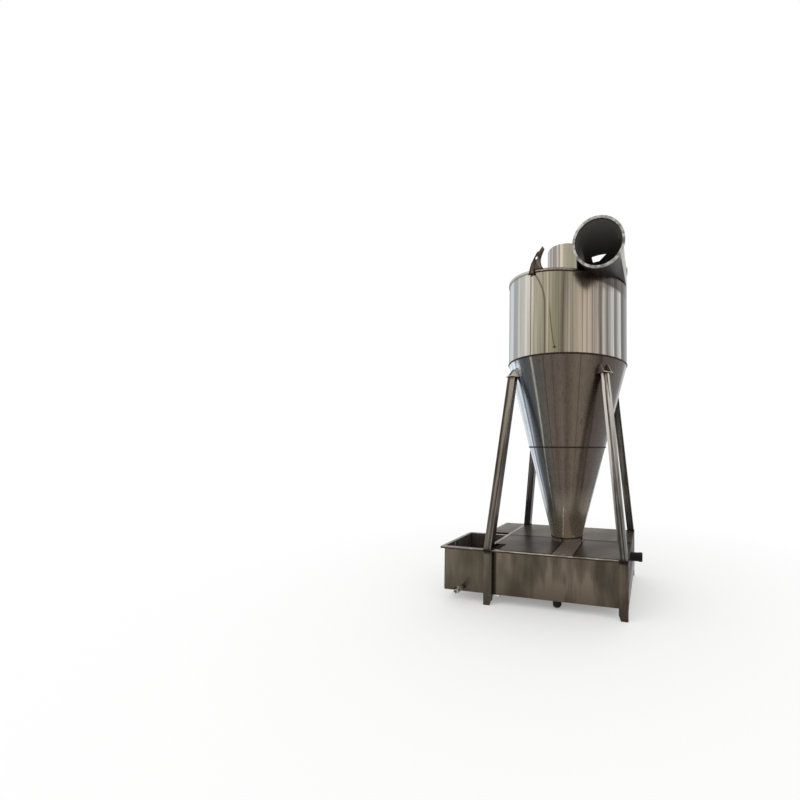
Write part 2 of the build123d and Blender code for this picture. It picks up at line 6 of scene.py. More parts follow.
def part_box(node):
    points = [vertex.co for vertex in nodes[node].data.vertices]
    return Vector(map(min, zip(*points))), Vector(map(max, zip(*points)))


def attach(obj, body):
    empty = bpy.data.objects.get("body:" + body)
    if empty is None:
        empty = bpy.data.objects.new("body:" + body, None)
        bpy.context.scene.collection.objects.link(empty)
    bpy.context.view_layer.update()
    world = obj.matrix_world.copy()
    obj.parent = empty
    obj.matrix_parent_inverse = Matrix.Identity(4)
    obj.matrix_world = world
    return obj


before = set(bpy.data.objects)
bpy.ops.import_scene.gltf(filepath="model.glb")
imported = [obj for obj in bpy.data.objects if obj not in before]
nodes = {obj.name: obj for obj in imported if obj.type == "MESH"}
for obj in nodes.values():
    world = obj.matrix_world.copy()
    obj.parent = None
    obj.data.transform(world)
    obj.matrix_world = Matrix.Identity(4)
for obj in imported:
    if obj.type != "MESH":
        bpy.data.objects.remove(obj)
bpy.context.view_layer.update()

# Viewpoint: a person's eye height in front of the trough's clean end, looking slightly up and to
# the left, through a wide lens.
scene = bpy.context.scene
camera_data = bpy.data.cameras.new("viewpoint")
camera_data.sensor_width = 36.0
camera_data.lens = 16.30
camera_data.shift_x = -0.1966
camera_data.shift_y = 0.0450
camera_data.clip_end = 200.0
camera = bpy.data.objects.new("viewpoint", camera_data)
scene.collection.objects.link(camera)
camera.matrix_world = (
    Matrix.Translation((0.9935, -3.5872, 1.4365))
    @ Matrix.Rotation(0.2510, 4, "Z")
    @ Matrix.Rotation(math.pi / 2 + 0.0290, 4, "X")
    @ Matrix.Rotation(0.0047, 4, "Z")
)
scene.camera = camera

# Cyclone's upright axis, found from the exhaust tube, which is centred on it, and the level of
# the trough's rim, found from its front wall.
tube_low, tube_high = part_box("exhaust_tube")
axis_x = (tube_low.x + tube_high.x) / 2
axis_y = (tube_low.y + tube_high.y) / 2
wall_low, wall_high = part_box("trough_front")
rim_z = wall_high.z


# Barrel: cold-rolled stainless sheet, bent to a cylinder in a roll. The mill finish is almost a
# mirror, so its surroundings are painted on as upright bands of reflected light and shade, with
# fine upright roll lines, a few dark lines painted in with the reflection, painted shade and
# reflection of the inlet under it, and one run of dried dirt.
def linear(hex_colour):
    """Linear colour of an sRGB hex value."""
    channels = [int(hex_colour[i : i + 2], 16) / 255 for i in (0, 2, 4)]
    return [c / 12.92 if c <= 0.04045 else ((c + 0.055) / 1.055) ** 2.4 for c in channels] + [1.0]


def add_node(tree, kind, *inputs, output=None, **named):
    """Adds a shader node and gives the output that is asked for, or else its first one in use.

    The kind of a node that calculates is followed by its operation. An input, in its order or by
    name, is a value or another node's output. What is named and is no input is a setting.
    """
    kind, *operation = kind.split()
    made = tree.nodes.new("ShaderNode" + kind)
    if operation:
        made.operation = operation[0]
    given = []
    for name, value in named.items():
        if name in made.inputs:
            given.append((made.inputs[name], value))
        else:
            setattr(made, name, value)
    given += zip((socket for socket in made.inputs if socket.enabled), inputs)
    for socket, value in given:
        if isinstance(value, bpy.types.NodeSocket):
            tree.links.new(value, socket)
        elif value is not None:
            socket.default_value = value
    if output:
        return made.outputs[output]
    return next((socket for socket in made.outputs if socket.enabled), None)


def new_material(name):
    """Empty material with its node tree and the place on the object that patterns start from."""
    made = bpy.data.materials.new(name)
    made.use_nodes = True
    tree = made.node_tree
    tree.nodes.clear()
    return made, tree, add_node(tree, "TexCoord", output="Object")


def set_stops(ramp_output, stops):
    """Fills a colour ramp from places and hex colours, and gives its output back."""
    ramp = ramp_output.node.color_ramp
    while len(ramp.elements) > 1:
        ramp.elements.remove(ramp.elements[-1])
    (place, colour), *others = stops
    ramp.elements[0].position, ramp.elements[0].color = place, linear(colour)
    for place, colour in others:
        ramp.elements.new(place).color = linear(colour)
    return ramp_output


def pattern(tree, place, repeats, detail, roughness):
    """Cloudy pattern that repeats so many times a metre along X, Y and Z."""
    scaled = add_node(tree, "Mapping", place, Scale=repeats)
    return add_node(tree, "TexNoise", scaled, 1.0, detail, roughness)


def paint(tree, colour, hex_colour, *shares):
    """Lays a plain colour over another as far as all the shares together allow.

    A share is an output, or a value with the ranges it is stretched from and to.
    """
    share, *others = (add_node(tree, "MapRange", *given) if isinstance(given, tuple) else given
                      for given in shares)
    for other in others:
        share = add_node(tree, "Math MULTIPLY", share, other)
    return add_node(tree, "Mix", share, colour, linear(hex_colour), data_type="RGBA")


def stain(tree, place, colour, *marks):
    """Cloudy marks on a colour, each full at a spot and gone at its size along X, Y and Z."""
    for spot, size, hex_colour, most in marks:
        away = add_node(tree, "VectorMath SUBTRACT", place, spot)
        away = add_node(tree, "VectorMath DIVIDE", away, size)
        reach = add_node(tree, "VectorMath LENGTH", away)
        patches = pattern(tree, place, (38, 38, 38), 3.0, 0.6)
        ragged = add_node(tree, "Math MULTIPLY_ADD", patches, 0.9, reach)
        colour = paint(tree, colour, hex_colour, (ragged, 0.75, 1.45, most, 0.0))
    return colour


def metal_surface(tree, colour, rough, metallic, height, strength, depth, edge=(1, 1, 1, 1)):
    """Metal shader with its bump.

    Its roughness is a value with the ranges it is stretched from and to. Edge is what the metal
    mirrors at a flat angle, grey when it is dirty.
    """
    bump = add_node(tree, "Bump", strength, depth, Height=height)
    shader = add_node(tree, "BsdfPrincipled", colour, metallic,
                      add_node(tree, "MapRange", *rough), Normal=bump, **{"Specular Tint": edge})
    add_node(tree, "OutputMaterial", shader)


def rolled_stainless(name, reflected_bands, lines, roughness, streak_depth, stains=()):
    """Rolled stainless: painted reflection bands and dark lines round the axis, fine roll streaks.

    Bands are given for the front half and mirrored to the back. A line is its angle and half
    width in degrees, its colour, and how fast it curls sideways above 2.7 m.
    """
    made, tree, place = new_material(name)
    centred = add_node(tree, "Mapping", place, (-axis_x, -axis_y, 0))
    parts = add_node(tree, "SeparateXYZ", centred).node.outputs
    turn = add_node(tree, "Math ARCTAN2", parts["Y"], parts["X"])
    half_turn = add_node(tree, "Math ABSOLUTE", turn)
    share = add_node(tree, "MapRange", half_turn, 0.0, math.pi, 0.0, 1.0)
    # The painted reflection bands sway by up to 1.5 degrees along the height, because no rolled
    # sheet is a true cylinder.
    waves = pattern(tree, centred, (1.6, 1.6, 1.1), 1.0, 0.4)
    sway = add_node(tree, "MapRange", waves, 0.3, 0.7, -0.008, 0.008)
    # The bands are painted reflections of the surroundings, by angle round the axis.
    reflected_band = set_stops(
        add_node(tree, "ValToRGB", add_node(tree, "Math ADD", share, sway)),
        sorted((-degrees / 180, colour) for degrees, colour in reflected_bands))
    # Streaks 30 mm and 8 mm wide, and thin dark lines. Real roll lines are finer than a pixel.
    wide = pattern(tree, centred, (34, 34, 0.30), 3.0, 0.55)
    fine = pattern(tree, centred, (120, 120, 0.55), 2.0, 0.6)
    both = add_node(tree, "Math MULTIPLY_ADD", fine, 0.6, wide)
    shade = add_node(tree, "MapRange", both, 0.55, 1.05, 1.0 - streak_depth, 1.0 + streak_depth)
    scratches = pattern(tree, centred, (75, 75, 0.20), 1.0, 0.5)
    scratched = add_node(tree, "MapRange", scratches, 0.60, 0.68, 1.0, 1.0 - 1.8 * streak_depth)
    shade = add_node(tree, "Math MULTIPLY", shade, scratched)
    colour = add_node(tree, "VectorMath SCALE", reflected_band, shade)
    above = add_node(tree, "Math SUBTRACT", parts["Z"], 2.70)
    above = add_node(tree, "Math MAXIMUM", above, 0.0)
    squared = add_node(tree, "Math MULTIPLY", above, above)
    # Thin dark lines painted in with the reflection bands.
    for degrees, half_width, hex_colour, curl in lines:
        curled = add_node(tree, "Math MULTIPLY_ADD", squared, -math.radians(curl), turn)
        beside = add_node(tree, "Math SUBTRACT", curled, math.radians(degrees))
        apart = add_node(tree, "Math ABSOLUTE", beside)
        half = math.radians(half_width)
        colour = paint(tree, colour, hex_colour, (apart, 0.5 * half, 1.6 * half, 0.85, 0.0))
    colour = stain(tree, place, colour, *stains)
    rough = (both, 0.55, 1.05, roughness + 0.06, roughness - 0.05)
    roll_lines = pattern(tree, centred, (420, 420, 3), 2.0, 0.5)
    return made, tree, place, parts, turn, colour, rough, roll_lines


def dress(material, *names):
    """Gives CAD nodes one material."""
    for name in names:
        nodes[name].data.materials.clear()
        nodes[name].data.materials.append(material)


def on_body(degrees, radius, height):
    """Point at an angle and radius from the cyclone's axis."""
    turn = math.radians(degrees)
    return Vector((axis_x + radius * math.cos(turn), axis_y + radius * math.sin(turn), height))


barrel_low, barrel_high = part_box("barrel")
barrel_radius = (barrel_high.x - barrel_low.x) / 2
stainless_barrel, tree, place, parts, turn, colour, rough, height = rolled_stainless(
    "stainless_barrel",
    [(-180, "83827d"), (-158, "44494a"), (-150, "626869"), (-146, "b3bbbd"), (-139, "c3cacc"),
     (-136, "9ca2a2"), (-130, "8f938f"), (-126, "c2c1bc"), (-122, "aeaba5"), (-115, "c4c0b8"),
     (-110, "a49e92"), (-107, "7b7466"), (-104, "8c8575"), (-100, "777061"), (-96.4, "8b8471"),
     (-88, "7b7562"), (-84, "847d69"), (-80.8, "64584a"), (-79, "80766a"), (-75, "a09584"),
     (-66, "998d7c"), (-57, "92877b"), (-52, "938a7d"), (-49.6, "625a54"), (-45.5, "b3ada5"),
     (-41.5, "66625d"), (-34.2, "dad7d4"), (-32, "605d5b"), (-22.8, "d0cecb"), (-20, "4b4a49"),
     (-8, "636564"), (0, "6d6b66")],
    [(-111.1, 0.55, "4a4136", 0), (-97.2, 0.7, "433a2e", -125), (-93.2, 0.3, "5c5343", 0),
     (-61.0, 0.35, "6b6056", 0), (-54.5, 0.3, "74685c", 0), (-28.5, 0.4, "6e6b68", 0),
     (-14.0, 0.5, "5d5c5b", 0)],
    0.25, 0.21,
    # Two dark marks under the inlet: painted shade and reflection of the hood on the barrel.
    [(on_body(-52.0, barrel_radius, 2.89), (0.22, 0.40, 0.065), "665b53", 0.6),
     (on_body(-63.5, barrel_radius, 2.94), (0.10, 0.30, 0.055), "4a3d34", 0.75)])
# Dried run of dirt: it starts upright and curls to the right into a drop, 3 mm wide and 420 mm
# long, its curl growing with the square of the way down.
run_top, run_foot, run_angle, run_curl = 2.72, 2.299, math.radians(-92.5), 0.42
down = add_node(tree, "Math SUBTRACT", run_top, parts["Z"])
squared = add_node(tree, "Math MULTIPLY", down, down)
run_place = add_node(tree, "Math MULTIPLY_ADD", squared, run_curl, run_angle)
beside = add_node(tree, "Math SUBTRACT", turn, run_place)
apart = add_node(tree, "Math ABSOLUTE", beside)
colour = paint(tree, colour, "4a4132", (apart, 0.005, 0.011, 0.85, 0.0),
               (parts["Z"], run_foot, run_foot + 0.01, 0.0, 1.0),
               (parts["Z"], run_top - 0.12, run_top, 1.0, 0.0))
drop = (on_body(-88.2, barrel_radius, run_foot + 0.004), (0.02, 0.05, 0.013), "2f2a20", 0.95)
colour = stain(tree, place, colour, drop)
# Painted shadow under the inlet's floor: a dark strip along the edge from the side plate to the
# right, where the hood shades the barrel.
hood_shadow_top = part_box("inlet_floor")[0].z
lower_right = add_node(tree, "MapRange", parts["X"], 0.35, 0.58, 0.0, 0.035)
level = add_node(tree, "Math ADD", parts["Z"], lower_right)
colour = paint(tree, colour, "3d342f", (level, hood_shadow_top - 0.070, hood_shadow_top - 0.045, 0.0, 0.85),
               (turn, math.radians(-66), math.radians(-58), 0.0, 1.0),
               (turn, math.radians(-6), 0.0, 1.0, 0.0))
metal_surface(tree, colour, rough, 0.9, height, 0.08, 0.0006)
dress(stainless_barrel, "barrel")

# Exhaust tube: the same sheet in a tighter roll. Painted reflection stripes on its left, with dark
# upright lines among them, and plain on its right.
stainless_tube, tree, place, parts, turn, colour, rough, height = rolled_stainless(
    "stainless_tube",
    [(-180, "77777a"), (-150, "8f9090"), (-140, "c9c6bf"), (-133, "77706a"), (-128, "c5c0bb"),
     (-123, "8d8680"), (-118, "a19a94"), (-113, "6f6862"), (-109, "a39c96"), (-104.5, "8b837a"),
     (-99, "a29b8c"), (-92, "aaa494"), (-78, "a19b86"), (-66, "8f8a75"), (-55, "9b9583"),
     (-20, "8a8474"), (0, "a19c90")],
    [(-101.6, 1.0, "4c453d", 0), (-131.0, 0.9, "6a655f", 0), (-119.0, 0.8, "6a635d", 0)],
    0.27, 0.13)
metal_surface(tree, colour, rough, 0.92, height, 0.08, 0.0006)
dress(stainless_tube, "exhaust_tube")

# Cone: two rolled sections of the same sheet. It leans towards the floor, so its painted
# reflection bands are dark and brown, with a painted cold light edge on the left, a painted light
# streak beside a dark one, and the painted dark mirror image of the front right leg. Near its end
# it is dusty and paler.
stainless_cone, tree, place, parts, turn, colour, rough, height = rolled_stainless(
    "stainless_cone",
    [(-180, "4e5257"), (-164, "7d8892"), (-157, "b7c2ce"), (-150, "dfe8f1"), (-143, "b9c7d6"),
     (-137, "e8f0f8"), (-133, "59606a"), (-130, "aab3bc"), (-126, "5c6268"), (-121, "454a4e"),
     (-115, "4a4c4b"), (-112.6, "52514f"), (-111, "a5a29a"), (-109, "504e4a"), (-104, "514e49"),
     (-98, "5c534b"), (-90, "554a43"), (-83, "62564c"), (-77, "51443b"), (-70, "64584b"),
     (-61, "63584b"), (-54, "574c43"), (-50.5, "4b4039"), (-47.5, "3b302b"), (-44.5, "544943"),
     (-37, "564c47"), (-26, "5b5552"), (-12, "4f4b49"), (-4, "a3a4a3"), (0, "7b7b79")],
    [(-132.5, 1.0, "6b7078", 0), (-99.0, 0.6, "3f3732", 0), (-91.0, 0.5, "4a403a", 0),
     (-66.0, 0.5, "4d4339", 0)],
    0.26, 0.12,
    # Painted highlights beside the front left bracket, and painted shade beside the front right
    # one.
    [(on_body(-146, 0.585, 2.16), (0.045, 0.06, 0.075), "f2f4f5", 0.95),
     (on_body(-131, 0.585, 2.155), (0.05, 0.06, 0.085), "dfe3e4", 0.9),
     (on_body(-48, 0.565, 2.11), (0.075, 0.075, 0.05), "3a2e28", 0.75)])
colour = paint(tree, colour, "a89d89", (parts["Z"], 0.55, 1.05, 0.75, 0.0))
metal_surface(tree, colour, rough, 0.75, height, 0.05, 0.0005)
dress(stainless_cone, "cone_upper", "cone_lower")


# Welds of the body: dark, heat-tinted rings where barrel, cone sections and outlet pipe meet,
# each a row of small ripples left by the torch. Real ripples are 2 mm; these are 12 mm to show.
def weld_metal(name, dark, light, roughness):
    """Weld metal: tinted brown and blue by its heat in patches a finger wide."""
    made, tree, place = new_material(name)
    patches = pattern(tree, place, (55, 55, 55), 3.0, 0.6)
    tint = set_stops(add_node(tree, "ValToRGB", patches),
                     [(0.35, dark), (0.6, light), (0.72, dark)])
    metal_surface(tree, tint, (patches, 0.3, 0.7, roughness - 0.06, roughness + 0.1), 0.75,
                  pattern(tree, place, (400, 400, 400), 2.0, 0.6), 0.3, 0.0005)
    return made


def pick(piece, rule, kind="VERT"):
    """Goes to edit mode with only the points, or the edges, selected that fit a rule."""
    bpy.ops.object.mode_set(mode="EDIT")
    bpy.ops.mesh.select_mode(type=kind)
    bpy.ops.mesh.select_all(action="DESELECT")
    bpy.ops.object.mode_set(mode="OBJECT")
    for part in piece.data.vertices if kind == "VERT" else piece.data.edges:
        part.select = rule(part)
    bpy.ops.object.mode_set(mode="EDIT")


def finish(piece, name, material):
    """Puts a modelled piece's place into its mesh, smooths it and hands it to the frame."""
    bpy.ops.object.mode_set(mode="OBJECT")
    bpy.ops.object.transform_apply(location=True, rotation=True, scale=True)
    bpy.ops.object.shade_smooth_by_angle(angle=math.radians(35))
    piece.name = piece.data.name = name
    piece.data.materials.clear()
    piece.data.materials.append(material)
    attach(piece, "root")


def modify(piece, kind, **settings):
    """Adds a modifier with its settings and applies it."""
    bpy.ops.object.mode_set(mode="OBJECT")
    made = piece.modifiers.new(kind.lower(), kind)
    for name, value in settings.items():
        setattr(made, name, value)
    bpy.ops.object.modifier_apply(modifier=made.name)


def ring_weld(name, material, centre, radius, width, ripple, around, rotation=(0, 0, 0)):
    """Ring of weld whose cross-sections swell and shrink in turn."""
    sides = 8
    bpy.ops.mesh.primitive_torus_add(
        major_radius=radius, minor_radius=width / 2, major_segments=around, minor_segments=sides,
        location=centre, rotation=rotation)
    bead = bpy.context.object
    pick(bead, lambda point: (point.index // sides) % 2 == 0)
    bpy.ops.transform.shrink_fatten(value=-ripple)
    finish(bead, name, material)


def weld(name, material, start, end, width):
    """Straight row of overlapping weld ripples between two points."""
    start, run = Vector(start), Vector(end) - Vector(start)
    count = max(3, round(run.length / (0.8 * width)))
    bpy.ops.mesh.primitive_uv_sphere_add(
        segments=8, ring_count=6, radius=width / 2, location=start,
        rotation=run.to_track_quat("Z", "Y").to_euler())
    bead = bpy.context.object
    pick(bead, lambda point: point.co.z > width / 8)
    bpy.ops.transform.resize(value=(0.8, 0.8, 0.8))
    modify(bead, "ARRAY", use_relative_offset=False, use_constant_offset=True,
           constant_offset_displace=(0, 0, run.length / (count - 1)), count=count)
    finish(bead, name, material)


def cone_radius_at(level):
    """Outer radius of the cone at a height."""
    return outlet_radius + (level - outlet_z) * cone_slope


burnt_weld = weld_metal("burnt_weld", "1e1511", "3a2c24", 0.5)
bright_weld = weld_metal("bright_weld", "a8a296", "d6d1c6", 0.35)
cone_joint_z, outlet_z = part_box("cone_lower")[1].z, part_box("cone_lower")[0].z
outlet_radius = (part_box("outlet_pipe")[1].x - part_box("outlet_pipe")[0].x) / 2
cone_slope = (barrel_radius - outlet_radius) / (barrel_low.z - outlet_z)
for name, radius, level, width in (
    ("weld_barrel_foot", barrel_radius - 0.002, barrel_low.z, 0.019),
    ("weld_cone_joint", cone_radius_at(cone_joint_z) - 0.002, cone_joint_z, 0.018),
    ("weld_cone_end", outlet_radius - 0.001, outlet_z + 0.004, 0.018),
):
    ring_weld(name, burnt_weld, (axis_x, axis_y, level), radius, width,
              width / 9, 288)

# Upright seams of the body: each rolled section is closed by one straight weld. The lower cone's
# is ground bright at its foot, and tacks hold the outlet pipe beside it; the others are behind.
weld("seam_cone_lower", bright_weld,
     on_body(-86.0, cone_radius_at(0.85) + 0.0005, 0.85),
     on_body(-91.0, cone_radius_at(0.552) + 0.0005, 0.552), 0.007)
weld("seam_cone_upper", burnt_weld,
     on_body(112.0, cone_radius_at(cone_joint_z) + 0.0005, cone_joint_z),
     on_body(112.0, barrel_radius + 0.0005, barrel_low.z), 0.007)
weld("seam_barrel", burnt_weld, on_body(98.0, barrel_radius, barrel_low.z),
     on_body(98.0, barrel_radius, 3.11), 0.007)
for number, degrees in enumerate((-94.0, -6.0, 80.0, 165.0)):
    bpy.ops.mesh.primitive_uv_sphere_add(
        segments=16, ring_count=10, radius=0.013,
        location=on_body(degrees, outlet_radius + 0.001, 0.518))
    tack = bpy.context.object
    pick(tack, lambda point: point.co.z < 0)
    bpy.ops.transform.resize(value=(0.75, 0.75, 1.35))
    finish(tack, "tack_outlet_%d" % (number + 1), burnt_weld)


# Roof: flat sheet cut to a ring and pulled into one turn of a helix round the tube. From below
# only its rim is seen; from above it is dull grey with clouds and a few rubbed lines.
def mill_stainless(name, colours, roughness, lines, clouds, metallic, stains=()):
    """Flat mill-finish sheet; lines and clouds are pattern repeats a metre along X, Y and Z."""
    made, tree, place = new_material(name)
    line = pattern(tree, place, lines, 3.0, 0.6)
    mixed = add_node(tree, "Math MULTIPLY_ADD", line, 0.35, pattern(tree, place, clouds, 3.0, 0.5))
    colour = set_stops(add_node(tree, "ValToRGB", mixed), zip((0.50, 0.66, 0.82), colours))
    colour = stain(tree, place, colour, *stains)
    metal_surface(tree, colour, (mixed, 0.5, 0.82, roughness + 0.07, roughness - 0.06), metallic,
                  line, 0.12, 0.0008)
    return made


roof_fall, roof_end = 0.295, 288.5


def roof_level(degrees):
    """Height of the roof's upper face at an angle from its start."""
    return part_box("roof")[1].z - roof_fall * degrees / 360


def helix_weld(name, material, radius, lift, width, first, last):
    """Weld that winds down with the roof from one angle to another, in degrees."""
    start_z = roof_level(0.0) + lift
    scene.cursor.location = (axis_x, axis_y, start_z)
    bpy.ops.mesh.primitive_circle_add(vertices=8, radius=width / 2, fill_type="NOTHING",
                                      location=on_body(0.0, radius, start_z),
                                      rotation=(math.pi / 2, 0, 0))
    bead = bpy.context.object
    bpy.ops.object.transform_apply(location=False, rotation=True, scale=False)
    bpy.ops.object.origin_set(type="ORIGIN_CURSOR")
    steps = round((last - first) / 1.5)
    modify(bead, "SCREW", axis="Z", angle=math.radians(last - first),
           screw_offset=roof_level(last) - roof_level(first), steps=steps, render_steps=steps)
    bpy.ops.object.mode_set(mode="EDIT")
    bpy.ops.mesh.select_all(action="SELECT")
    bpy.ops.mesh.fill_holes(sides=12)
    bpy.ops.mesh.select_all(action="SELECT")
    bpy.ops.mesh.normals_make_consistent(inside=False)
    bpy.ops.object.mode_set(mode="OBJECT")
    bead.rotation_euler = (0, 0, math.radians(first))
    bead.location.z = roof_level(first) + lift
    finish(bead, name, material)


dress(mill_stainless("roof_steel", ("716e68", "8f8b84", "b0aca4"), 0.32, (90, 8, 90),
                     (3, 3, 3), 0.9), "roof")
helix_weld("weld_roof_tube", burnt_weld, (tube_high.x - tube_low.x) / 2 + 0.001, 0.001, 0.010,
           0.0, 284.0)

# Edge band: flat bar rolled round the top of the barrel, its outer face left bright. A dark weld
# runs along its lower edge as the band's painted shadow line, and a thin light one along the top.
# Left of the front lug the bar is ground flush and as pale as the barrel, with no shadow line.
band_radius = (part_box("roof_band")[1].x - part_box("roof_band")[0].x) / 2
band_steel, tree, place = new_material("band_steel")
scuffs = pattern(tree, place, (60, 60, 220), 3.0, 0.6)
colour = set_stops(add_node(tree, "ValToRGB", scuffs),
                   [(0.35, "5c5249"), (0.5, "796e63"), (0.68, "a19689")])
across = add_node(tree, "SeparateXYZ", place, output="X")
colour = paint(tree, colour, "b3b3af", (across, axis_x - 0.21, axis_x - 0.18, 1.0, 0.0))
metal_surface(tree, colour, (scuffs, 0.3, 0.7, 0.42, 0.28), 0.85, scuffs, 0.12, 0.0008)
dress(band_steel, "roof_band")
rubbed_weld = weld_metal("rubbed_weld", "8f877d", "b5aca1", 0.4)
# The dark foot welds stand in for the painted shadow under the band; the left one is pale.
for part, material, first, last in (("back", burnt_weld, 0.0, 178.0),
                                    ("left", rubbed_weld, 178.0, 253.0),
                                    ("front", burnt_weld, 253.0, roof_end)):
    helix_weld("weld_band_foot_" + part, material, barrel_radius + 0.0015, -0.0235, 0.009,
               first, last)
helix_weld("weld_band_top", rubbed_weld, barrel_radius + 0.001, 0.0, 0.005, 0.0, roof_end)

# Inlet: a hood of thin sheet, folded and rolled from round to square, over a flat floor. Inside
# it is grey with dust; outside it is painted dark as shade and mirrored dark ground, with a painted
# light strip on its right wall.
ring_low, ring_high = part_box("inlet_ring")
ring_x = (ring_low.x + ring_high.x) / 2
ring_z = (ring_low.z + ring_high.z) / 2
ring_inner = (ring_high.x - ring_low.x) / 2 - 0.0215
hood_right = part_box("inlet_hood")[1].x
hood_steel, tree, place = new_material("hood_steel")
line = pattern(tree, place, (14, 4, 130), 3.0, 0.6)
mixed = add_node(tree, "Math MULTIPLY_ADD", line, 0.35, pattern(tree, place, (5, 3, 8), 3.0, 0.5))
# The dark outside colour is painted shade.
colour = set_stops(add_node(tree, "ValToRGB", mixed),
                   [(0.50, "191614"), (0.66, "24201d"), (0.82, "342f2b")])
normal = add_node(tree, "NewGeometry", output="Normal")
facing = add_node(tree, "SeparateXYZ", normal).node.outputs
parts = add_node(tree, "SeparateXYZ", place).node.outputs
# Painted light: the right wall and the top are painted lighter, as they look up to the light.
colour = paint(tree, colour, "a8a69f", (facing["X"], 0.75, 0.92, 0.0, 1.0),
               (parts["X"], hood_right - 0.06, hood_right - 0.03, 0.0, 1.0))
colour = paint(tree, colour, "8f8b84", (facing["Z"], 0.5, 0.8, 0.0, 0.8),
               (parts["Z"], ring_z + 0.05, ring_z + 0.12, 0.0, 1.0))
# Grey dust lies where a face looks towards the hood's own middle line.
outwards = add_node(tree, "VectorMath SUBTRACT", place, (ring_x, 0, ring_z))
outwards = add_node(tree, "VectorMath MULTIPLY", outwards, (1, 0, 1))
agreement = add_node(tree, "VectorMath DOT_PRODUCT", normal, outwards)
colour = paint(tree, colour, "868582", (agreement, -0.05, 0.0, 0.95, 0.0))
metal_surface(tree, colour, (mixed, 0.5, 0.82, 0.42, 0.28), 0.6, line, 0.12, 0.0008)
dress(hood_steel, "inlet_hood", "inlet_side_plate")
# The inlet floor's underside is painted almost black as shade.
dress(mill_stainless("floor_steel", ("1c1916", "2a2622", "3a352f"), 0.4, (60, 8, 60),
                     (6, 6, 6), 0.8), "inlet_floor")

# Welds of the hood: a ring behind the flange, the side plate's long edge, and the floor's front
# edge from the plate to the barrel. All are dark from the torch.
ring_weld("weld_ring_hood", burnt_weld, (ring_x, ring_high.y + 0.001, ring_z),
          ring_inner + 0.002, 0.010, 0.0009, 160, (math.pi / 2, 0, 0))
plate_low, plate_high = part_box("inlet_side_plate")
floor_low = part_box("inlet_floor")[0]
weld("weld_side_plate_front", burnt_weld,
     (plate_low.x - 0.001, plate_low.y + 0.002, barrel_high.z - 0.235),
     (plate_low.x - 0.001, plate_low.y + 0.002, plate_high.z), 0.009)
weld("weld_floor_front", burnt_weld,
     floor_low + Vector((0.01, 0.004, 0.004)),
     on_body(-52.0, barrel_radius + 0.001, floor_low.z + 0.009), 0.008)

# Ring: flat flange cut from plate, mottled grey from handling, its inner edge rolled over a
# little by the torch and speckled dark.
ring_steel = mill_stainless(
    "ring_steel", ("706d69", "9b9893", "bebbb6"), 0.34, (130, 130, 130), (34, 34, 34), 0.9,
    [(Vector((ring_x - 0.16, ring_low.y, ring_z - 0.12)), (0.05, 0.05, 0.03), "5a5650", 0.7),
     (Vector((ring_x + 0.2, ring_low.y, ring_z - 0.02)), (0.05, 0.05, 0.04), "4e4a48", 0.8)])
dress(ring_steel, "inlet_ring")
bpy.ops.mesh.primitive_torus_add(
    major_radius=ring_inner + 0.003, minor_radius=0.0035, major_segments=144, minor_segments=8,
    location=(ring_x, ring_low.y + 0.0038, ring_z), rotation=(math.pi / 2, 0, 0))
ring_lip = bpy.context.object
pick(ring_lip, lambda point: point.co.z > 0)
bpy.ops.transform.resize(value=(0.997, 1.0, 0.997))
finish(ring_lip, "inlet_ring_lip", ring_steel)

# Lifting lugs: burnt out of thick plate and welded against the band. Almost black, with a brown
# sheen on the outside; a thick weld runs round the tab.
dress(mill_stainless("lug_steel", ("221913", "3c2c24", "5c5246"), 0.42, (50, 50, 90),
                     (26, 26, 12), 0.75), "lifting_lug_front", "lifting_lug_back")
for name, degrees in (("front", -105.5), ("back", 74.5)):
    middle = on_body(degrees, band_radius + 0.004, roof_level(degrees % 360))
    along = on_body(degrees + 90, 1.0, 0.0) - on_body(0.0, 0.0, 0.0)
    for part, start, start_lift, end, end_lift, width in (
        ("tab", -0.072, -0.036, -0.016, -0.036, 0.012),
        ("foot", -0.010, 0.001, 0.072, -0.006, 0.011),
        ("side", -0.014, -0.034, -0.014, 0.0, 0.011),
    ):
        weld("weld_lug_%s_%s" % (part, name), burnt_weld,
             middle + along * start + Vector((0, 0, start_lift)),
             middle + along * end + Vector((0, 0, end_lift)), width)

# Outlet pipe: a short rolled pipe that is welded to the cone's end and hangs down into the
# trough. The dust that falls there has dulled it.
dress(mill_stainless("outlet_steel", ("5c554b", "6e675b", "827a6c"), 0.32, (80, 80, 4),
                     (12, 12, 4), 0.6), "outlet_pipe")

# Brackets: level pads with two gussets each, cut from plate and welded to the cone under the
# barrel. The pads' welds are thick and dark, the gussets' thin and rubbed.
corners = {
    "front_left": (-1, -1, 180 + 43.6),
    "front_right": (1, -1, -43.6),
    "back_right": (1, 1, 43.6),
    "back_left": (-1, 1, 180 - 43.6),
}
dress(mill_stainless("bracket_steel", ("6e665f", "98918a", "bab4ab"), 0.36, (50, 50, 50),
                     (20, 20, 20), 0.88), *("leg_bracket_" + corner for corner in corners))
gusset_height, gusset_place, gusset_half, pad_half = 0.075, 0.043, 0.003, 0.052
pad_top_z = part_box("leg_bracket_front_right")[1].z - gusset_height
pad_foot_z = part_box("leg_bracket_front_right")[0].z


def beside_bracket(degrees, place, reach, level):
    """Point beside a bracket's middle plane, at a reach beyond the cone's surface."""
    beyond = math.sqrt(cone_radius_at(level) ** 2 - place**2) + reach
    across = on_body(degrees + 90, 1.0, 0.0) - on_body(0.0, 0.0, 0.0)
    return on_body(degrees, beyond, level) + across * place


